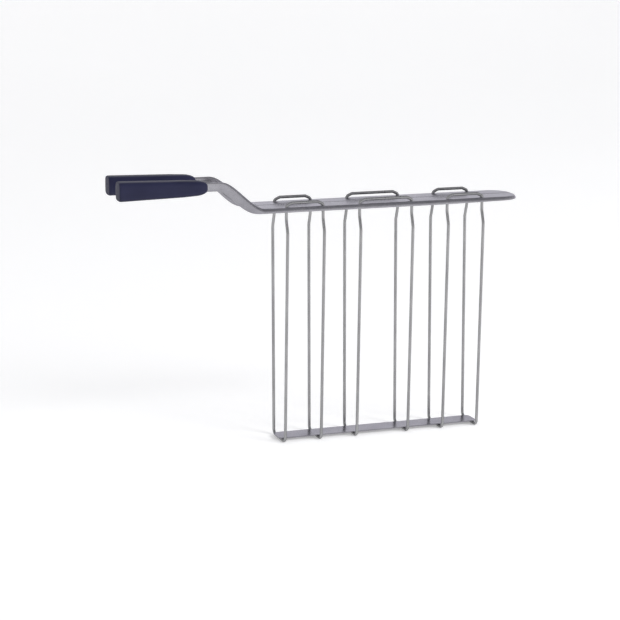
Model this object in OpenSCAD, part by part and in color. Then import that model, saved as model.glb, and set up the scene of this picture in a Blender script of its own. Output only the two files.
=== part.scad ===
// Toaster sandwich rack: a sprung wire cage on a thin base strip, closed by two
// pressed steel arms that end in plastic grips. It stands on its wire feet.
// X runs along the arms away from the grips, -Y is the front, +Z is up.

/* [Wire cage] */
// Diameter of the spring wire
wire_d = 1.7; // [1.5:0.1:2.2]
// Spacing of the two wires of an outer loop
leg_pitch = 22; // [18:1:26]
// Spacing of the two wires of the middle loop
centre_gap = 32; // [26:1:38]
// Half the distance between front and rear wires at the bottom
foot_half = 10.3; // [9.8:0.1:12]
// Half the distance between front and rear wires at their widest
waist_half = 13.2; // [12:0.1:15]
// Half the distance between front and rear wires where they pass the arms
neck_half = 10.7; // [10:0.1:11.4]
// Height of the widest place
waist_z = 123; // [118:1:125]
// Height where the wires turn upright again below the arms
neck_z = 130; // [128:0.5:131]
// Bend radius at the bottom of the wires
foot_bend_r = 3; // [2.5:0.1:3.8]

/* [Base strip] */
// Length of the base strip
strip_l = 124; // [122:1:130]
// Width of the base strip
strip_w = 13; // [10:0.5:14]
// Thickness of the base strip
strip_t = 0.6; // [0.4:0.1:1]
// Corner radius of the base strip
strip_corner_r = 3; // [1:0.5:5]

/* [Arms] */
// Distance from the middle of the cage to the arms' free end
arm_reach = 84.4; // [75:0.1:90]
// Height of the arms' top face
arm_top_z = 137.5; // [136.5:0.1:138]
// Sheet thickness of the arms
sheet_t = 1; // [0.8:0.1:1.2]
// Height of the turned-down lip
lip_h = 2.7; // [2.5:0.1:4.5]
// How much the lip gets lower towards the free end
lip_taper = 0.5; // [0:0.1:1]
// Half the overall width across both lips
lip_half = 14; // [13.8:0.1:15]
// Gap between the two arms when closed
arm_gap = 0.6; // [0.6:0.1:2]
// Corner radius of the free end
arm_end_r = 12; // [4:0.5:13]
// Distance from the middle of the cage to the start of the rise
rise_start = 72.5; // [70:0.5:76]
// Length of the rise to the handle
rise_l = 26; // [22:0.5:30]
// How much further from the cage the lower edge rises
low_delay = 2.5; // [0:0.5:5]
// Height of the tang's lower edge
tang_bottom_z = 148.4; // [145:0.1:150]
// Height of the tang
tang_h = 4.9; // [4:0.1:7.4]
// Half the distance between the two tangs
tang_half = 11.6; // [10.5:0.1:13]

/* [Grips] */
// Distance from the middle of the cage to the grips' end
grip_reach = 157.2; // [150:0.1:165]
// Length of a grip
grip_l = 50.5; // [45:0.5:60]
// Height of a grip at its end
grip_h = 10.9; // [10:0.1:14]
// Thickness of a grip
grip_w = 10; // [8:0.1:11]
// Corner radius of a grip
grip_r = 2.8; // [2:0.1:3]
// Depth of the socket that holds the tang
socket_l = 41; // [30:1:44]

/* [Opening] */
// Height of the flexing point above the table
flex_z = 5.55; // [5.3:0.05:6]
// Gap left in the wire at the flexing point
flex_gap = 0.3; // [0.2:0.05:0.4]

/* [Hidden] */
$fn = 48;

wire_r = wire_d / 2;
// The overall length is centred on the origin, so the cage sits off centre.
cage_x = (grip_reach - arm_reach) / 2;
leg_x = [
    -centre_gap / 2 - 2 * leg_pitch, -centre_gap / 2 - leg_pitch, -centre_gap / 2,
    centre_gap / 2, centre_gap / 2 + leg_pitch, centre_gap / 2 + 2 * leg_pitch
];
// Each top loop leans in from its legs as it rises over the arm.
loop_bend_r = 2;
loop_z = arm_top_z + 2.3;
loop_knee_z = arm_top_z + 0.8;
loop_lean = 3.2;
leg_bend_r = 3;
// How far a cutting or clipping shape runs past what it cuts.
through = 1;
// Flat sides around a swept wire.
wire_sides = 12;
flange_inner = arm_gap / 2;
rise_end = rise_start + rise_l;
tang_z = tang_bottom_z + tang_h / 2;
tang_end = grip_reach - grip_l + socket_l;
flange_corner_r = 3;
// How much slower the lower edge rises at the cage than at the handle.
low_power = 1.5;
// Where the top face runs out along the rise: its width, how far it stops short of the handle
// and how far its full width reaches up the rise.
root_w = 1.5;
root_run = 4;
root_extra = 3;
taper_start = 30;
// Grip form: chamfer at its end, what each half loses to the nose in side view and in plan,
// length of the rounded nose and the plastic above and below the tang at its tip.
end_chamfer = 1.2;
grip_taper = 1.3;
plan_taper = 0.5;
nose_l = 7;
nose_steps = 6;
nose_wall = 0.2;
steel = [0.66, 0.66, 0.70];
wire_steel = [0.50, 0.50, 0.51];
grip_plastic = [0.16, 0.17, 0.24];

// Smooth step from 0 to 1.
function ease(t) = let (u = min(max(t, 0), 1)) u * u * (3 - 2 * u);
// Progress at x of a rise that lies further from the cage by delay, 0 on the cage side and 1 at the handle.
function rise(x, delay) = ease((-rise_start - delay - x) / rise_l);
function top_z(x) = arm_top_z + (tang_bottom_z + tang_h - arm_top_z) * rise(x, 0);
function low_z(x) =
    arm_top_z - lip_h + (tang_bottom_z - arm_top_z + lip_h) * pow(rise(x, low_delay), low_power)
    + lip_taper * ease((x - taper_start) / (arm_reach - taper_start));

// Stations along an arm, close together where it curves.
side_x = concat(
    [-tang_end],
    [for (i = [0 : 18]) -rise_end - low_delay + (rise_l + low_delay) * i / 18],
    [for (i = [0 : 8]) taper_start + (arm_reach - taper_start) * i / 8]
);

function reverse(v) = [for (i = [len(v) - 1 : -1 : 0]) v[i]];
function unit(v) = v / norm(v);
// How much of each straight a bend of radius r uses up at corner i of path p.
function setback(p, i, r) =
    i == 0 || i == len(p) - 1 ? 0 :
    let (a = unit(p[i - 1] - p[i]), b = unit(p[i + 1] - p[i])) r / tan(acos(a * b) / 2);

// A round wire along a flat path in the XY plane, with every corner bent to radius r.
module bent_wire(p, r) {
    for (i = [0 : len(p) - 2]) {
        d = unit(p[i + 1] - p[i]);
        a = p[i] + d * setback(p, i, r);
        b = p[i + 1] - d * setback(p, i + 1, r);
        translate([a[0], a[1], 0])
            rotate([0, 0, atan2(d[1], d[0])])
                rotate([0, 90, 0])
                    cylinder(r = wire_r, h = norm(b - a));
    }
    for (i = [1 : len(p) - 2]) {
        a = unit(p[i - 1] - p[i]);
        b = unit(p[i + 1] - p[i]);
        c = p[i] + unit(a + b) * norm([r, setback(p, i, r)]);
        from_a = p[i] + a * setback(p, i, r) - c;
        from_b = p[i] + b * setback(p, i, r) - c;
        turn = 180 - acos(a * b);
        left = from_a[0] * from_b[1] - from_a[1] * from_b[0] > 0;
        start = left ? from_a : from_b;
        translate([c[0], c[1], 0])
            rotate([0, 0, atan2(start[1], start[0])])
                rotate_extrude(angle = turn)
                    translate([r, 0]) circle(r = wire_r);
    }
}

// Draws its children on the front side, or mirrored on the rear side.
module on_side(side) {
    if (side == "rear") children();
    else mirror([0, 1, 0]) children();
}

// One wire's run under the strip, from its front leg to its rear leg.
module foot_wire(n) {
    end_z = flex_z - flex_gap / 2;
    color(wire_steel)
        translate([cage_x + leg_x[n - 1], 0, 0])
            rotate([90, 0, 90])
                bent_wire([[-foot_half, end_z], [-foot_half, wire_r], [foot_half, wire_r], [foot_half, end_z]],
                    foot_bend_r);
}

// Points of a route whose corner i is bent to radius r[i]; a radius of 0 leaves the point.
function bent_route(p, r) = [for (i = [0 : len(p) - 1]) each r[i] == 0 ? [p[i]] : bend_points(p, i, r[i])];
function bend_points(p, i, r) =
    let (
        a = unit(p[i - 1] - p[i]),
        b = unit(p[i + 1] - p[i]),
        c = p[i] + unit(a + b) * norm([r, setback(p, i, r)]),
        from_a = p[i] + a * setback(p, i, r) - c,
        from_b = p[i] + b * setback(p, i, r) - c,
        turn = 180 - acos(a * b),
        steps = ceil(turn / 15)
    )
    [for (k = [0 : steps]) c + (sin(turn * (1 - k / steps)) * from_a + sin(turn * k / steps) * from_b) / sin(turn)];

// Ring of points around a route's point, square to the route there.
function wire_ring(route, i) =
    let (
        along = unit(route[min(i + 1, len(route) - 1)] - route[max(i - 1, 0)]),
        across = unit([0, 1, 0] - along * along[1]),
        third = cross(along, across)
    )
    [for (k = [0 : wire_sides - 1]) let (t = 360 * (k + 0.5) / wire_sides)
        route[i] + wire_r * (cos(t) * across + sin(t) * third)];

// A wire swept along a route in space.
module swept_wire(route) {
    n = wire_sides;
    rings = len(route);
    polyhedron(
        points = [for (i = [0 : rings - 1]) each wire_ring(route, i)],
        faces = concat(
            [[for (k = [0 : n - 1]) n - 1 - k]],
            [for (i = [0 : rings - 2], k = [0 : n - 1])
                [i * n + k, i * n + (k + 1) % n, (i + 1) * n + (k + 1) % n, (i + 1) * n + k]],
            [[for (k = [0 : n - 1]) (rings - 1) * n + k]]
        )
    );
}

// Points of one upright leg on the rear side, from the flexing point to the top loop's bar.
// lean is how far the loop's end moves sideways above the arm.
function leg_route(x, lean) = [
    [x, foot_half, flex_z + flex_gap / 2],
    [x, waist_half, waist_z],
    [x, neck_half, neck_z],
    [x, neck_half, loop_knee_z],
    [x + lean, neck_half, loop_z]
];

// Two legs joined by a low loop that stands above the arm.
module wire_loop(n, side) {
    corners = concat(
        leg_route(leg_x[2 * n - 2], loop_lean),
        reverse(leg_route(leg_x[2 * n - 1], -loop_lean))
    );
    bends = [0, leg_bend_r, leg_bend_r, loop_bend_r, loop_bend_r];
    color(wire_steel)
        on_side(side)
            translate([cage_x, 0, 0])
                swept_wire(bent_route(corners, concat(bends, reverse(bends))));
}

module base_strip() {
    half_l = strip_l / 2;
    half_w = strip_w / 2;
    r = strip_corner_r;
    color(steel)
        translate([cage_x, 0, wire_d])
            linear_extrude(strip_t) {
                square([strip_l - 2 * r, strip_w], center = true);
                square([strip_l, strip_w - 2 * r], center = true);
                for (x = [-half_l + r, half_l - r], y = [-half_w + r, half_w - r])
                    translate([x, y]) circle(r = r);
            }
}

// Plan of the upright sheet: lip, round free end, inward slant of the rise, tang.
module sheet_plan() {
    inner = lip_half - sheet_t;
    translate([-rise_start, inner]) square([rise_start + arm_reach - arm_end_r, sheet_t]);
    translate([arm_reach - arm_end_r, lip_half - arm_end_r])
        intersection() {
            difference() {
                circle(r = arm_end_r);
                circle(r = arm_end_r - sheet_t);
            }
            square(arm_end_r);
        }
    translate([arm_reach - sheet_t, flange_inner])
        square([sheet_t, lip_half - arm_end_r - flange_inner]);
    polygon([[-rise_start, inner], [-rise_start, lip_half],
        [-rise_end, tang_half + sheet_t / 2], [-rise_end, tang_half - sheet_t / 2]]);
    translate([-tang_end, tang_half - sheet_t / 2]) square([tang_end - rise_end, sheet_t]);
}

// Plan of the arm's top face, which narrows away along the rise.
module flange_plan() {
    outer = lip_half - sheet_t / 2;
    straight = arm_reach - arm_end_r;
    root_x = -rise_start - root_extra;
    round_x = root_x + flange_corner_r;
    intersection() {
        translate([-rise_end, flange_inner]) square([rise_end + arm_reach, outer - flange_inner]);
        union() {
            translate([round_x, flange_inner]) square([straight - round_x, outer - flange_inner]);
            translate([straight, flange_inner])
                square([arm_end_r - sheet_t / 2, lip_half - arm_end_r - flange_inner]);
            translate([straight, lip_half - arm_end_r]) circle(r = arm_end_r - sheet_t / 2);
            translate([round_x, flange_inner + flange_corner_r]) circle(r = flange_corner_r);
            polygon([[round_x, flange_inner + flange_corner_r], [round_x, outer], [-rise_start, outer],
                [-rise_end, tang_half], [-rise_end + root_run, tang_half - root_w],
                [root_x, outer - root_w - sheet_t], [root_x, flange_inner + flange_corner_r]]);
        }
    }
}

// Side view between two heights, extruded across the whole arm.
module side_band(low, high) {
    translate([0, lip_half + through, 0])
        rotate([90, 0, 0])
            linear_extrude(lip_half + 2 * through)
                polygon(concat(
                    [for (i = [0 : len(side_x) - 1]) [side_x[i], low[i]]],
                    reverse([for (i = [0 : len(side_x) - 1]) [side_x[i], high[i]]])
                ));
}

// Extrudes a plan over the whole height of an arm.
module upright() {
    low = arm_top_z - lip_h - through;
    translate([0, 0, low]) linear_extrude(tang_bottom_z + tang_h + through - low) children();
}

module arm(side) {
    high = [for (x = side_x) top_z(x)];
    color(steel)
        on_side(side)
            translate([cage_x, 0, 0])
                difference() {
                    union() {
                        intersection() {
                            upright() sheet_plan();
                            side_band([for (x = side_x) low_z(x)], high);
                        }
                        intersection() {
                            upright() flange_plan();
                            side_band([for (x = side_x) top_z(x) - sheet_t], high);
                        }
                    }
                    for (x = leg_x)
                        translate([x, neck_half, arm_top_z - sheet_t - through])
                            cylinder(r = wire_r, h = sheet_t + 2 * through);
                }
}

// Outline that is symmetrical about the X axis, from [distance from the grip's end, half size] pairs.
module tapered_outline(stations) {
    polygon(concat(
        [for (s = stations) [s[0] - grip_reach, s[1]]],
        reverse([for (s = stations) [s[0] - grip_reach, -s[1]]])
    ));
}

// Half size along a grip: a chamfered end, a straight taper to the nose and a rounded nose.
function grip_stations(half, taper, nose_half) = concat(
    [[0, half - end_chamfer], [end_chamfer, half]],
    [for (i = [0 : nose_steps]) let (t = 90 * i / nose_steps)
        [grip_l - nose_l * (1 - sin(t)), nose_half + (half - taper - nose_half) * cos(t)]]
);

// A grip: round-edged bar that tapers towards the arm in side view and in plan, with the tang's socket.
module grip(side) {
    color(grip_plastic)
        on_side(side)
            translate([cage_x, tang_half, tang_z])
                difference() {
                    intersection() {
                        translate([-grip_reach, 0, 0])
                            rotate([90, 0, 90])
                                linear_extrude(grip_l) {
                                    square([grip_w - 2 * grip_r, grip_h], center = true);
                                    square([grip_w, grip_h - 2 * grip_r], center = true);
                                    for (y = [-1, 1], z = [-1, 1])
                                        translate([y * (grip_w / 2 - grip_r), z * (grip_h / 2 - grip_r)])
                                            circle(r = grip_r);
                                }
                        translate([0, grip_w / 2 + through, 0])
                            rotate([90, 0, 0])
                                linear_extrude(grip_w + 2 * through)
                                    tapered_outline(grip_stations(grip_h / 2, grip_taper, tang_h / 2 + nose_wall));
                        translate([0, 0, -grip_h / 2 - through])
                            linear_extrude(grip_h + 2 * through)
                                tapered_outline(grip_stations(grip_w / 2, plan_taper, grip_w / 4));
                    }
                    translate([-tang_end, -sheet_t / 2, -tang_h / 2])
                        cube([socket_l + through, sheet_t, tang_h]);
                }
}

base_strip();
foot_wire(1);  // foot_wire_1
foot_wire(2);  // foot_wire_2
foot_wire(3);  // foot_wire_3
foot_wire(4);  // foot_wire_4
foot_wire(5);  // foot_wire_5
foot_wire(6);  // foot_wire_6
wire_loop(1, "front");  // front_wire_loop_1
wire_loop(2, "front");  // front_wire_loop_2
wire_loop(3, "front");  // front_wire_loop_3
wire_loop(1, "rear");  // rear_wire_loop_1
wire_loop(2, "rear");  // rear_wire_loop_2
wire_loop(3, "rear");  // rear_wire_loop_3
arm("front");  // front_arm
arm("rear");  // rear_arm
grip("front");  // front_grip
grip("rear");  // rear_grip
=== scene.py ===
"""Toaster sandwich rack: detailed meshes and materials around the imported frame.

Units are metres. X runs from the grips to the arms' free ends, Y from front to rear, and Z up.
"""
import math

import bpy
import numpy as np
from mathutils import Matrix, Vector

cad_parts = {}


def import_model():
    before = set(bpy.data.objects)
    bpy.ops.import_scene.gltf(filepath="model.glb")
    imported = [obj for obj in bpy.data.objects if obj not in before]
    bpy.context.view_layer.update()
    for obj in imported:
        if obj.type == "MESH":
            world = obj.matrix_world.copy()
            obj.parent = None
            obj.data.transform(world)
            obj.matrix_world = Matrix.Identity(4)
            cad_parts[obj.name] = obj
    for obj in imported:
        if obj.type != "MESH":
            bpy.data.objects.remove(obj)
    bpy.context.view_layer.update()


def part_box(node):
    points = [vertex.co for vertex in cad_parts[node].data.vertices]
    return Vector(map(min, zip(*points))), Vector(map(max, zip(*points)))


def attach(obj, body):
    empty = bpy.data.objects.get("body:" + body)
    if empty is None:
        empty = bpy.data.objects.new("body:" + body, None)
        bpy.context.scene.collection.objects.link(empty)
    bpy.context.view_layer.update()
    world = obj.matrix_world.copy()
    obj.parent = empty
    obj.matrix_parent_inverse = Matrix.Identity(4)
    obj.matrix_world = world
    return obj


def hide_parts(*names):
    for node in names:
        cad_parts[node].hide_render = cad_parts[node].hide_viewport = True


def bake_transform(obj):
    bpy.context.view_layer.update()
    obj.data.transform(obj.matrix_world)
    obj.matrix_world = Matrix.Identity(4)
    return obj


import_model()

MM = 0.001
QUARTER_TURN = math.pi / 2
LOOPS = (1, 2, 3)
SIDES = {"front": -1, "rear": 1}

# Wire rings. A half distance runs from the middle plane to the wire's centre.
WIRE_R = 0.85 * MM
FOOT_HALF = 10.3 * MM
WAIST_HALF = 13.2 * MM
NECK_HALF = 10.7 * MM
WAIST_Z = 123 * MM
NECK_Z = 130 * MM
FOOT_BEND_R = 3 * MM
LEG_BEND_R = 6 * MM
TOP_BEND_R = 2 * MM
TOP_LEAN = 3.2 * MM  # how far each end of a loop leans in from its leg
TOP_RISE = 2.3 * MM  # a loop's centre line above the arm's top
TOP_KNEE = 0.8 * MM  # where a leg starts to lean, above the arm's top
WIRE_SIDES = 20
WIRE_STRETCH = 2.5 * MM  # longest stretch between two rings of a wire
BEND_STEP = math.radians(7)

# Pressed sheet. An arm is folded along its outer edge: a lip hangs down, the top points inward.
CREASE = 50  # degrees; the sheet's edges stay sharp above this
SHEET_T = 1.0 * MM
LIP_HALF = 14.0 * MM
LIP_H = 2.7 * MM
LIP_TAPER = 0.5 * MM
TAPER_START = 30 * MM  # from the cage's middle
BEND_R = 2.0 * MM
END_R = 12 * MM
ARM_GAP_HALF = 0.3 * MM
TANG_HALF = 11.6 * MM
TANG_H = 4.9 * MM
RISE_BACK = 72.5 * MM  # where the arm starts to rise, from the cage's middle
RISE_L = 26 * MM
LOW_DELAY = 2.5 * MM  # the lower edge rises later than the top
LOW_POWER = 1.5

# Places that follow from the frame.
strip_lo, strip_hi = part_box("base_strip")
arm_lo, arm_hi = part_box("front_arm")
grip_lo, grip_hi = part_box("front_grip")
loop_boxes = [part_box(f"front_wire_loop_{n}") for n in LOOPS]
CAGE_X = (strip_lo.x + strip_hi.x) / 2
LOOP_Z = loop_boxes[0][1].z - WIRE_R
ARM_TOP = LOOP_Z - TOP_RISE
ARM_TIP = arm_hi.x
TANG_TOP = arm_hi.z
TANG_BOTTOM = TANG_TOP - TANG_H
RISE_START = CAGE_X - RISE_BACK
RISE_END = RISE_START - RISE_L - LOW_DELAY


# ---------------------------------------------------------------- materials

NOISE_LOW, NOISE_HIGH = 0.3, 0.7  # most of a noise's values lie between these
NOISE_ROUGHNESS = 0.55
BUMP_DEPTH = 0.00003


def new_material(name):
    mat = bpy.data.materials.new(name)
    mat.use_nodes = True
    nodes = mat.node_tree.nodes
    return mat, nodes, mat.node_tree.links, nodes["Principled BSDF"]


def stretched_noise(nodes, links, scale, detail):
    """Noise in object space, stretched by a different scale along each axis."""
    coord = nodes.new("ShaderNodeTexCoord")
    mapping = nodes.new("ShaderNodeMapping")
    mapping.inputs["Scale"].default_value = scale
    noise = nodes.new("ShaderNodeTexNoise")
    noise.inputs["Scale"].default_value = 1.0
    noise.inputs["Detail"].default_value = detail
    noise.inputs["Roughness"].default_value = NOISE_ROUGHNESS
    links.new(coord.outputs["Object"], mapping.inputs["Vector"])
    links.new(mapping.outputs["Vector"], noise.inputs["Vector"])
    return noise.outputs["Fac"]


def to_range(nodes, links, value, low, high):
    node = nodes.new("ShaderNodeMapRange")
    node.inputs["From Min"].default_value = NOISE_LOW
    node.inputs["From Max"].default_value = NOISE_HIGH
    node.inputs["To Min"].default_value = low
    node.inputs["To Max"].default_value = high
    links.new(value, node.inputs["Value"])
    return node.outputs["Result"]


def colour_between(nodes, links, value, first, last, start=NOISE_LOW, end=NOISE_HIGH):
    ramp = nodes.new("ShaderNodeValToRGB")
    ramp.color_ramp.elements[0].position = start
    ramp.color_ramp.elements[0].color = (*first, 1)
    ramp.color_ramp.elements[1].position = end
    ramp.color_ramp.elements[1].color = (*last, 1)
    links.new(value, ramp.inputs["Fac"])
    return ramp.outputs["Color"]


def bump(nodes, links, height, strength, normal=None):
    node = nodes.new("ShaderNodeBump")
    node.inputs["Strength"].default_value = strength
    node.inputs["Distance"].default_value = BUMP_DEPTH
    links.new(height, node.inputs["Height"])
    if normal is not None:
        links.new(normal, node.inputs["Normal"])
    return node.outputs["Normal"]


def steel_material(name, dark, light, grain, roughness, edge_tint):
    """Stainless steel with drawn or rolled lines; grain is the noise scale along X, Y and Z."""
    mat, nodes, links, shader = new_material(name)
    fine = stretched_noise(nodes, links, grain, detail=6.0)
    cloud = stretched_noise(nodes, links, (70, 70, 70), detail=3.0)
    links.new(colour_between(nodes, links, cloud, dark, light), shader.inputs["Base Color"])
    links.new(to_range(nodes, links, fine, *roughness), shader.inputs["Roughness"])
    links.new(bump(nodes, links, fine, strength=0.12), shader.inputs["Normal"])
    shader.inputs["Metallic"].default_value = 1.0
    shader.inputs["Specular Tint"].default_value = (*edge_tint, 1)
    return mat


def plastic_material(name, dark, light, roughness):
    """Satin moulded plastic: faint flow lines along X under a fine pebbled skin."""
    mat, nodes, links, shader = new_material(name)
    cloud = stretched_noise(nodes, links, (40, 60, 60), detail=3.0)
    flow = stretched_noise(nodes, links, (60, 900, 900), detail=4.0)
    pebble = stretched_noise(nodes, links, (3500, 3500, 3500), detail=2.0)
    links.new(colour_between(nodes, links, cloud, dark, light), shader.inputs["Base Color"])
    links.new(to_range(nodes, links, flow, *roughness), shader.inputs["Roughness"])
    soft = bump(nodes, links, flow, strength=0.10)
    links.new(bump(nodes, links, pebble, 0.16, soft), shader.inputs["Normal"])
    shader.inputs["IOR"].default_value = 1.5
    shader.inputs["Specular IOR Level"].default_value = 0.22
    return mat


WIRE_STEEL = steel_material(
    "drawn_wire", dark=(0.29, 0.29, 0.295), light=(0.37, 0.37, 0.375),
    grain=(4000, 4000, 60), roughness=(0.22, 0.38), edge_tint=(0.60, 0.60, 0.60))
SHEET_STEEL = steel_material(
    "rolled_sheet", dark=(0.26, 0.255, 0.28), light=(0.34, 0.335, 0.36),
    grain=(50, 3500, 3500), roughness=(0.18, 0.32), edge_tint=(0.80, 0.79, 0.85))
GRIP_PLASTIC = plastic_material(
    "grip_plastic", dark=(0.012, 0.013, 0.036), light=(0.018, 0.019, 0.050),
    roughness=(0.46, 0.60))


# ---------------------------------------------------------------- mesh helpers

def mesh_object(name, verts, faces, material):
    mesh = bpy.data.meshes.new(name)
    mesh.from_pydata([tuple(v) for v in verts], [], faces)
    mesh.validate()
    mesh.materials.append(material)
    obj = bpy.data.objects.new(name, mesh)
    bpy.context.scene.collection.objects.link(obj)
    for poly in mesh.polygons:
        poly.use_smooth = True
    return obj


def lofted(name, rings, material, flipped=False):
    """A skin over closed rings of equal length, capped at both ends.

    Flipped is for rings that run the other way round, so that the faces still point outward.
    """
    count = len(rings[0])
    last = (len(rings) - 1) * count
    faces = []
    for r in range(len(rings) - 1):
        for k in range(count):
            a, b = r * count + k, r * count + (k + 1) % count
            faces.append((a, b, b + count, a + count))
    faces.append(tuple(range(count - 1, -1, -1)))
    faces.append(tuple(last + k for k in range(count)))
    if flipped:
        faces = [face[::-1] for face in faces]
    return mesh_object(name, [v for ring in rings for v in ring], faces, material)


def sharpen(obj, degrees):
    """Smooth shading that keeps edges sharper than this angle."""
    bpy.context.view_layer.objects.active = obj
    for other in bpy.context.selected_objects:
        other.select_set(False)
    obj.select_set(True)
    bpy.ops.object.shade_smooth_by_angle(angle=math.radians(degrees))
    obj.select_set(False)


def ease(t):
    t = min(max(t, 0.0), 1.0)
    return t * t * (3 - 2 * t)


# ---------------------------------------------------------------- wires

def bent_route(corners, radii):
    """The corner points, each bent to its radius; a radius of 0 leaves the point as it is."""
    points = []
    for i, (corner, r) in enumerate(zip(corners, radii)):
        if r == 0:
            points.append(corner)
            continue
        a = (corners[i - 1] - corner).normalized()
        b = (corners[i + 1] - corner).normalized()
        inside = math.acos(max(-1.0, min(1.0, a.dot(b))))
        back = r / math.tan(inside / 2)
        centre = corner + (a + b).normalized() * math.hypot(r, back)
        start, end = corner + a * back - centre, corner + b * back - centre
        turn = math.pi - inside
        steps = max(3, math.ceil(turn / BEND_STEP))
        for k in range(steps + 1):
            f = k / steps
            swung = start * math.sin(turn * (1 - f)) + end * math.sin(turn * f)
            points.append(centre + swung / math.sin(turn))
    return points


def subdivided(points, longest):
    """Adds points so that no stretch is longer than this."""
    out = [points[0]]
    for a, b in zip(points, points[1:]):
        parts = max(1, math.ceil((b - a).length / longest))
        out += [a.lerp(b, k / parts) for k in range(1, parts + 1)]
    return out


def swept_wire(name, route):
    """A round wire along a route in space, with the ring's direction carried along it."""
    rings = []
    across = Vector((0, 0, 1))
    for i, p in enumerate(route):
        along = (route[min(i + 1, len(route) - 1)] - route[max(i - 1, 0)]).normalized()
        across = (across - along * along.dot(across)).normalized()
        third = along.cross(across)
        turns = [2 * math.pi * k / WIRE_SIDES for k in range(WIRE_SIDES)]
        rings.append([p + (across * math.cos(t) + third * math.sin(t)) * WIRE_R for t in turns])
    return lofted(name, rings, WIRE_STEEL)


def half_ring(side, loop, loop_box):
    """Half of one closed wire ring.

    It runs from under the strip, up a leg, over the arm and down the next leg.
    """
    y = SIDES[side]
    lo, hi = loop_box

    def leg(x, lean):
        return [Vector((x, 0, WIRE_R)),
                Vector((x, y * FOOT_HALF, WIRE_R)),
                Vector((x, y * WAIST_HALF, WAIST_Z)),
                Vector((x, y * NECK_HALF, NECK_Z)),
                Vector((x, y * NECK_HALF, ARM_TOP + TOP_KNEE)),
                Vector((x + lean, y * NECK_HALF, LOOP_Z))]

    corners = leg(lo.x + WIRE_R, TOP_LEAN) + leg(hi.x - WIRE_R, -TOP_LEAN)[::-1]
    radii = [0, FOOT_BEND_R, LEG_BEND_R, LEG_BEND_R, TOP_BEND_R, TOP_BEND_R]
    route = subdivided(bent_route(corners, radii + radii[::-1]), WIRE_STRETCH)
    wire = swept_wire(f"{side}_wire_{loop}", route)
    nodes = [f"{side}_wire_loop_{loop}"]
    if side == "front":
        nodes += [f"foot_wire_{2 * loop - 1}", f"foot_wire_{2 * loop}"]
    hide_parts(*nodes)
    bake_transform(wire)


for side in SIDES:
    for loop, loop_box in zip(LOOPS, loop_boxes):
        half_ring(side, loop, loop_box)


# ---------------------------------------------------------------- arms

TANG_Y = TANG_HALF + SHEET_T / 2
TANG_WIDTH = SHEET_T + 0.15 * MM
TANG_BEND_R = 0.42 * MM
TANG_END_GAP = 0.2 * MM
BEND_HASTE = 2.2  # the fold's radius is full after 1 / 2.2 of the rise

# The folded top widens a little along the rise, then turns inward at its root.
TOP_SPREAD = 3.4 * MM
SPREAD_HASTE = 1.15
ROOT_R = 3 * MM
ROOT_EXTRA = 3 * MM
ROOT_FLATTEN = 0.9

# The inner edge's points that fan out round the free end.
FAN_SHARE = 0.8
FAN_GAP = 0.6 * MM
LAST_GAP = 0.3 * MM

TANG_STEPS, RISE_STEPS, ROOT_STEPS, LIP_STEPS = 8, 34, 16, 60
CORNER_STEPS, END_STEPS = 20, 8
FOLD_STEPS, TOP_STEPS, UNDER_STEPS = 8, 8, 4
FACE_SHARES = (0.33, 0.66)  # heights of the points up the lip's two faces
LEAST_INNER_R = 0.08 * MM
# Rounding of the two cut edges; the pairs are shares of it, across the sheet and along it.
CUT_EDGE = 0.22 * MM
LIP_ROUND = (0.6, 0.15)
TOP_ROUND = (0.3, 0.25)


def rise(x, delay=0.0):
    return ease((RISE_START - delay - x) / RISE_L)


def top_at(x):
    return ARM_TOP + (TANG_TOP - ARM_TOP) * rise(x)


def low_at(x):
    tip = (x - CAGE_X - TAPER_START) / (ARM_TIP - CAGE_X - TAPER_START)
    lift = (TANG_BOTTOM - ARM_TOP + LIP_H) * rise(x, LOW_DELAY) ** LOW_POWER
    return ARM_TOP - LIP_H + lift + LIP_TAPER * ease(tip)


def along_rise(x):
    """0 where the tang ends, 1 where the level part of the arm starts."""
    return (x - RISE_END) / (RISE_START - RISE_END)


def outer_y(x):
    return TANG_Y + (LIP_HALF - TANG_Y) * ease(along_rise(x))


def fold_r(x):
    return TANG_BEND_R + (BEND_R - TANG_BEND_R) * ease(along_rise(x) * BEND_HASTE)


def arm_stations():
    """The rear arm from tang to round end: (x, outer face's y, width in plan, fold radius)."""
    tang_end = arm_lo.x + TANG_END_GAP
    root = RISE_START - ROOT_EXTRA
    stations = []
    for k in range(TANG_STEPS + 1):
        x = tang_end + (RISE_END - tang_end) * k / TANG_STEPS
        stations.append((x, TANG_Y, TANG_WIDTH, TANG_BEND_R))
    for k in range(1, RISE_STEPS + 1):
        x = RISE_END + (root - RISE_END) * k / RISE_STEPS
        width = TANG_WIDTH + TOP_SPREAD * ease(along_rise(x) * SPREAD_HASTE)
        stations.append((x, outer_y(x), width, fold_r(x)))
    narrow = stations[-1][2]
    for k in range(1, ROOT_STEPS + 1):
        turn = QUARTER_TURN * k / ROOT_STEPS
        x = root + ROOT_R * (1 - math.cos(turn)) * ROOT_FLATTEN
        width = narrow + (outer_y(x) - ARM_GAP_HALF - narrow) * math.sin(turn)
        stations.append((x, outer_y(x), width, fold_r(x)))
    start = stations[-1][0]
    for k in range(1, LIP_STEPS + 1):
        x = start + (ARM_TIP - END_R - start) * k / LIP_STEPS
        stations.append((x, outer_y(x), outer_y(x) - ARM_GAP_HALF, BEND_R))
    return stations


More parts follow.
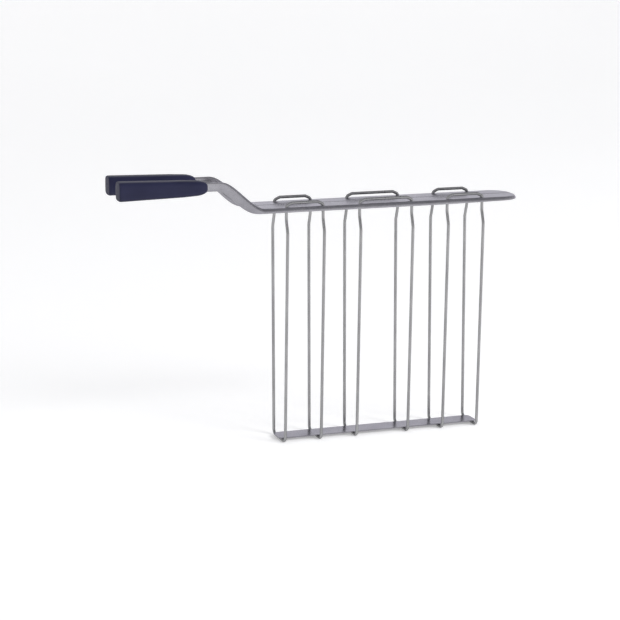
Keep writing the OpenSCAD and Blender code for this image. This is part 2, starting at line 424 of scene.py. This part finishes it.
def arm_section(outer, normal, inner, bend_r, top, low):
    """Closed ring of points round the folded sheet at one station.

    Outer and inner are its outermost and innermost points in plan, normal points outward. The
    ring goes up the lip's outer face, over the fold, along the top, and back underneath.
    """
    o, n, q = Vector((*outer, 0)), Vector((*normal, 0)), Vector((*inner, 0))
    edge = CUT_EDGE
    lip_across, lip_up = (edge * share for share in LIP_ROUND)
    top_down, top_back = (edge * share for share in TOP_ROUND)
    ring = []

    def at(plan, z):
        ring.append(Vector((plan.x, plan.y, z)))

    # Lip's cut edge and outer face.
    at(o - n * SHEET_T * 0.5, low)
    at(o - n * lip_across, low + lip_up)
    at(o, low + edge)
    for f in FACE_SHARES:
        at(o, low + edge + (top - bend_r - low - edge) * f)

    # Fold and top face.
    for k in range(FOLD_STEPS + 1):
        t = QUARTER_TURN * k / FOLD_STEPS
        at(o - n * bend_r * (1 - math.cos(t)), top - bend_r * (1 - math.sin(t)))
    base = o - n * bend_r
    toward = q - base
    length = toward.length
    step = toward / length
    last = max(length - edge, length * 0.5)
    for k in range(1, TOP_STEPS + 1):
        at(base + step * last * k / TOP_STEPS, top)

    # Top's cut edge and underside.
    at(base + step * (length - top_back), top - top_down)
    at(base + step * length, top - SHEET_T * 0.5)
    at(base + step * (length - top_back), top - SHEET_T + top_down)
    inner_r = max(bend_r - SHEET_T, LEAST_INNER_R)
    under = o - n * (SHEET_T + inner_r)
    back_from = base + step * last
    for k in range(TOP_STEPS):
        at(back_from.lerp(under, k / TOP_STEPS), top - SHEET_T)

    # Inside of the fold and of the lip.
    for k in range(UNDER_STEPS + 1):
        t = QUARTER_TURN * k / UNDER_STEPS
        at(under + n * inner_r * math.sin(t), top - SHEET_T - inner_r * (1 - math.cos(t)))
    for f in FACE_SHARES[::-1]:
        at(o - n * SHEET_T, low + edge + (top - SHEET_T - inner_r - low - edge) * f)
    at(o - n * SHEET_T, low + edge)
    at(o - n * (SHEET_T - lip_across), low + lip_up)
    return ring


def arm_rings():
    """All sections of the rear arm, from its tang, along the lip and round its free end."""
    rings = [arm_section((x, y), (0, 1), (x, y - width), bend_r, top_at(x), low_at(x))
             for x, y, width, bend_r in arm_stations()]
    corner_x, corner_y = ARM_TIP - END_R, LIP_HALF - END_R
    fan = ARM_TIP - BEND_R - FAN_GAP - corner_x
    for k in range(1, CORNER_STEPS + 1):
        t = QUARTER_TURN * k / CORNER_STEPS
        normal = (math.sin(t), math.cos(t))
        outer = (corner_x + END_R * normal[0], corner_y + END_R * normal[1])
        inner = (corner_x + fan * FAN_SHARE * k / CORNER_STEPS, ARM_GAP_HALF)
        rings.append(arm_section(outer, normal, inner, BEND_R, ARM_TOP, low_at(outer[0])))
    for k in range(1, END_STEPS + 1):
        outer = (ARM_TIP, corner_y - (corner_y - ARM_GAP_HALF - LAST_GAP) * k / END_STEPS)
        inner = (corner_x + fan * (FAN_SHARE + (1 - FAN_SHARE) * k / END_STEPS), ARM_GAP_HALF)
        rings.append(arm_section(outer, (1, 0), inner, BEND_R, ARM_TOP, low_at(ARM_TIP)))
    return rings


def arm(side):
    rings = arm_rings()
    if side == "front":
        rings = [[Vector((v.x, -v.y, v.z)) for v in ring] for ring in rings]
    obj = lofted(f"{side}_arm_sheet", rings, SHEET_STEEL, flipped=side == "rear")
    sharpen(obj, CREASE)
    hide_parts(f"{side}_arm")
    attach(obj, f"{side}_frame")


for side in SIDES:
    arm(side)


# ---------------------------------------------------------------- base strip

STRIP_CORNER_R = 3 * MM
STRIP_CORNER_STEPS = 10
STRIP_STATIONS = 237
STRIP_ACROSS = 27
STRIP_EDGE = 0.15 * MM
STRIP_EDGE_ROUND = 0.3  # share of the edge
WELD_R = 0.9 * MM
WELD_DEPTH = 0.10 * MM
WELD_AT = 0.55  # share of the strip's half width
STRIP_HALF_L = (strip_hi.x - strip_lo.x) / 2
STRIP_HALF_W = (strip_hi.y - strip_lo.y) / 2
WELD_X = [x - CAGE_X for lo, hi in loop_boxes for x in (lo.x + WIRE_R, hi.x - WIRE_R)]


def strip_half_width(x):
    into = abs(x) - (STRIP_HALF_L - STRIP_CORNER_R)
    if into <= 0:
        return STRIP_HALF_W
    return STRIP_HALF_W - STRIP_CORNER_R + math.sqrt(max(STRIP_CORNER_R ** 2 - into ** 2, 0))


def weld_dip(x, y):
    dip = 0.0
    for wx in WELD_X:
        for wy in (-WELD_AT * STRIP_HALF_W, WELD_AT * STRIP_HALF_W):
            far = ((x - wx) ** 2 + (y - wy) ** 2) / WELD_R ** 2
            dip += WELD_DEPTH * math.exp(-far)
    return dip


def base_strip():
    """Thin strip with round corners, softened edges and two shallow weld dimples on each wire."""
    bottom, top = strip_lo.z, strip_hi.z
    into_corner = [STRIP_CORNER_R * (1 - math.cos(QUARTER_TURN * k / STRIP_CORNER_STEPS))
                   for k in range(STRIP_CORNER_STEPS + 1)]
    straight = STRIP_HALF_L - STRIP_CORNER_R
    stations = sorted({round(x, 7) for x in (
        [-STRIP_HALF_L + v for v in into_corner] + [STRIP_HALF_L - v for v in into_corner]
        + list(np.linspace(-straight, straight, STRIP_STATIONS)))})
    soft = STRIP_EDGE * STRIP_EDGE_ROUND
    rings = []
    for x in stations:
        w = strip_half_width(x)
        flat = w - STRIP_EDGE
        face = [(f * flat, top - weld_dip(x, f * flat)) for f in np.linspace(-1, 1, STRIP_ACROSS)]
        edge = [(w - soft, top - soft), (w, top - STRIP_EDGE),
                (w, bottom + STRIP_EDGE), (w - soft, bottom + soft)]
        back = [(f * flat, bottom) for f in (1, 0.5, 0, -0.5, -1)]
        outline = face + edge + back + [(-y, z) for y, z in edge[::-1]]
        rings.append([Vector((CAGE_X + x, y, z)) for y, z in outline])
    obj = lofted("bread_strip", rings, SHEET_STEEL, flipped=True)
    sharpen(obj, CREASE)
    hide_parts("base_strip")
    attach(obj, "base")


base_strip()


# ---------------------------------------------------------------- grips

# Lengthwise places are shares of the grip's length, from its free end to its nose.
GRIP_SIDES = 72
GRIP_CREASE = 40  # degrees
BUTT_L, BUTT_LOSS = 0.03, 0.12
NOSE_START, NOSE_L = 0.72, 0.28
TIP_START, TIP_L = 0.87, 0.13
# How much each half loses over the whole length and over the nose, and what the tip keeps.
HEIGHT_FORM = (0.22, 0.06, 0.42)
WIDTH_FORM = (0.10, 0.15, 0.45)
# The section is a superellipse, squarer along the body than at the nose.
BODY_POWER, NOSE_POWER_LOSS = 4.0, 1.2
# Stations: how far the crowded ones at the free end reach, and (start, end, count) of the rest.
BUTT_REACH, BUTT_STEPS, TIP_STEPS = 0.012, 6, 18
BODY_RUNS = ((0.02, 0.70, 30), (0.71, 0.86, 12))


def grip_fractions():
    """Stations along a grip, closer together at the free end and at the tip."""
    butt = [BUTT_REACH * (1 - math.cos(QUARTER_TURN * k / BUTT_STEPS))
            for k in range(BUTT_STEPS + 1)]
    body = [f for run in BODY_RUNS for f in np.linspace(*run)]
    tip = [TIP_START + TIP_L * math.sin(QUARTER_TURN * k / TIP_STEPS)
           for k in range(TIP_STEPS + 1)]
    return butt + body + tip


def grip_half(half, form, f):
    """Half height or half width at this share of the length."""
    taper, nose_loss, tip_keeps = form
    into_butt = min(f / BUTT_L, 1.0)
    butt = math.sqrt(max(1 - (1 - into_butt) ** 2, 0)) * BUTT_LOSS + (1 - BUTT_LOSS)
    nose = max((f - NOSE_START) / NOSE_L, 0.0)
    tip = max((f - TIP_START) / TIP_L, 0.0)
    tip_round = math.sqrt(max(1 - tip ** 2, 0))
    body = half * butt * (1 - taper * f) * (1 - nose_loss * nose)
    return body * (tip_keeps + (1 - tip_keeps) * tip_round)


def grip(side):
    """Moulded grip with softly crowned sides, round corners and a nose that tapers to the tang."""
    length = grip_hi.x - grip_lo.x
    mid_y = SIDES[side] * TANG_HALF
    mid_z = (grip_hi.z + grip_lo.z) / 2
    rings = []
    for f in grip_fractions():
        h = grip_half((grip_hi.z - grip_lo.z) / 2, HEIGHT_FORM, f)
        w = grip_half((grip_hi.y - grip_lo.y) / 2, WIDTH_FORM, f)
        power = BODY_POWER - NOSE_POWER_LOSS * max((f - NOSE_START) / NOSE_L, 0.0)
        ring = []
        for k in range(GRIP_SIDES):
            t = 2 * math.pi * (k + 0.5) / GRIP_SIDES
            c, s = math.cos(t), math.sin(t)
            y = w * math.copysign(abs(c) ** (2 / power), c)
            z = h * math.copysign(abs(s) ** (2 / power), s)
            ring.append(Vector((grip_lo.x + length * f, mid_y + y, mid_z + z)))
        rings.append(ring)
    obj = lofted(f"{side}_moulded_grip", rings, GRIP_PLASTIC)
    sharpen(obj, GRIP_CREASE)
    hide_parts(f"{side}_grip")
    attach(obj, f"{side}_frame")


for side in SIDES:
    grip(side)


# ---------------------------------------------------------------- floor, light, camera

STUDIO_WHITE = (0.86, 0.86, 0.86)
FLOOR_FRONT = -4.0
FLOOR_HALF_WIDTH = 4.0
WALL_FOOT = 1.6
WALL_R = 1.2
WALL_TOP = 4.0
WALL_STEPS = 16


def stage_material(name, colour, roughness, glow):
    mat, nodes, links, shader = new_material(name)
    cloud = stretched_noise(nodes, links, (3, 3, 3), detail=2.0)
    tint = tuple(c * 0.99 for c in colour)
    links.new(colour_between(nodes, links, cloud, tint, colour), shader.inputs["Base Color"])
    shader.inputs["Roughness"].default_value = roughness
    shader.inputs["Emission Color"].default_value = (*colour, 1)
    shader.inputs["Emission Strength"].default_value = glow
    return mat


def cyclorama():
    """Floor that curves up into a back wall behind the rack."""
    turns = [QUARTER_TURN * k / WALL_STEPS for k in range(1, WALL_STEPS + 1)]
    profile = [(FLOOR_FRONT, 0.0), (WALL_FOOT, 0.0)]
    profile += [(WALL_FOOT + WALL_R * math.sin(t), WALL_R * (1 - math.cos(t))) for t in turns]
    profile.append((WALL_FOOT + WALL_R, WALL_TOP))
    verts = [Vector((x, y, z)) for y, z in profile for x in (-FLOOR_HALF_WIDTH, FLOOR_HALF_WIDTH)]
    faces = [(2 * i, 2 * i + 1, 2 * i + 3, 2 * i + 2) for i in range(len(profile) - 1)]
    white = stage_material("studio_white", STUDIO_WHITE, roughness=0.9, glow=0.33)
    obj = mesh_object("studio_floor", verts, faces, white)


def area_light(name, place, target, size, power):
    """Square soft light that the metal doesn't mirror."""
    data = bpy.data.lights.new(name, "AREA")
    data.shape = "SQUARE"
    data.size = size
    data.energy = power
    obj = bpy.data.objects.new(name, data)
    obj.location = place
    obj.rotation_euler = (Vector(target) - Vector(place)).to_track_quat("-Z", "Y").to_euler()
    obj.visible_glossy = False
    bpy.context.scene.collection.objects.link(obj)


def world(walls, ceiling, strength):
    """Studio surroundings: bright walls around, a darker ceiling above."""
    data = bpy.data.worlds.new("studio")
    data.use_nodes = True
    nodes, links = data.node_tree.nodes, data.node_tree.links
    background = nodes["Background"]
    coord = nodes.new("ShaderNodeTexCoord")
    split = nodes.new("ShaderNodeSeparateXYZ")
    links.new(coord.outputs["Generated"], split.inputs["Vector"])
    ramp = colour_between(nodes, links, split.outputs["Z"], walls, ceiling, start=0.10, end=0.60)
    links.new(ramp, background.inputs["Color"])
    background.inputs["Strength"].default_value = strength
    bpy.context.scene.world = data


def camera(place, azimuth, elevation, roll, lens):
    """Camera at this place; the angles are in degrees, and azimuth 0 looks along +Y."""
    data = bpy.data.cameras.new("camera")
    data.lens = lens
    data.sensor_width = 36
    data.clip_start, data.clip_end = 0.05, 50
    obj = bpy.data.objects.new("camera", data)
    a, e = math.radians(azimuth), math.radians(elevation)
    forward = Vector((math.sin(a) * math.cos(e), math.cos(a) * math.cos(e), -math.sin(e)))
    turn = forward.to_track_quat("-Z", "Y").to_matrix()
    turn = turn @ Matrix.Rotation(math.radians(roll), 3, "Z")
    obj.matrix_world = Matrix.Translation(place) @ turn.to_4x4()
    bpy.context.scene.collection.objects.link(obj)
    bpy.context.scene.camera = obj


cyclorama()
bpy.context.scene.view_settings.view_transform = "Standard"
world(walls=(0.92, 0.92, 0.92), ceiling=(0.44, 0.44, 0.46), strength=1.0)
area_light("key", place=(1.2, -1.6, 1.3), target=(0, 0, 0.05), size=0.9, power=34)
camera(place=Vector((-0.3891, -1.0725, 0.3230)), azimuth=19.69, elevation=12.28, roll=0.36,
       lens=117.8)
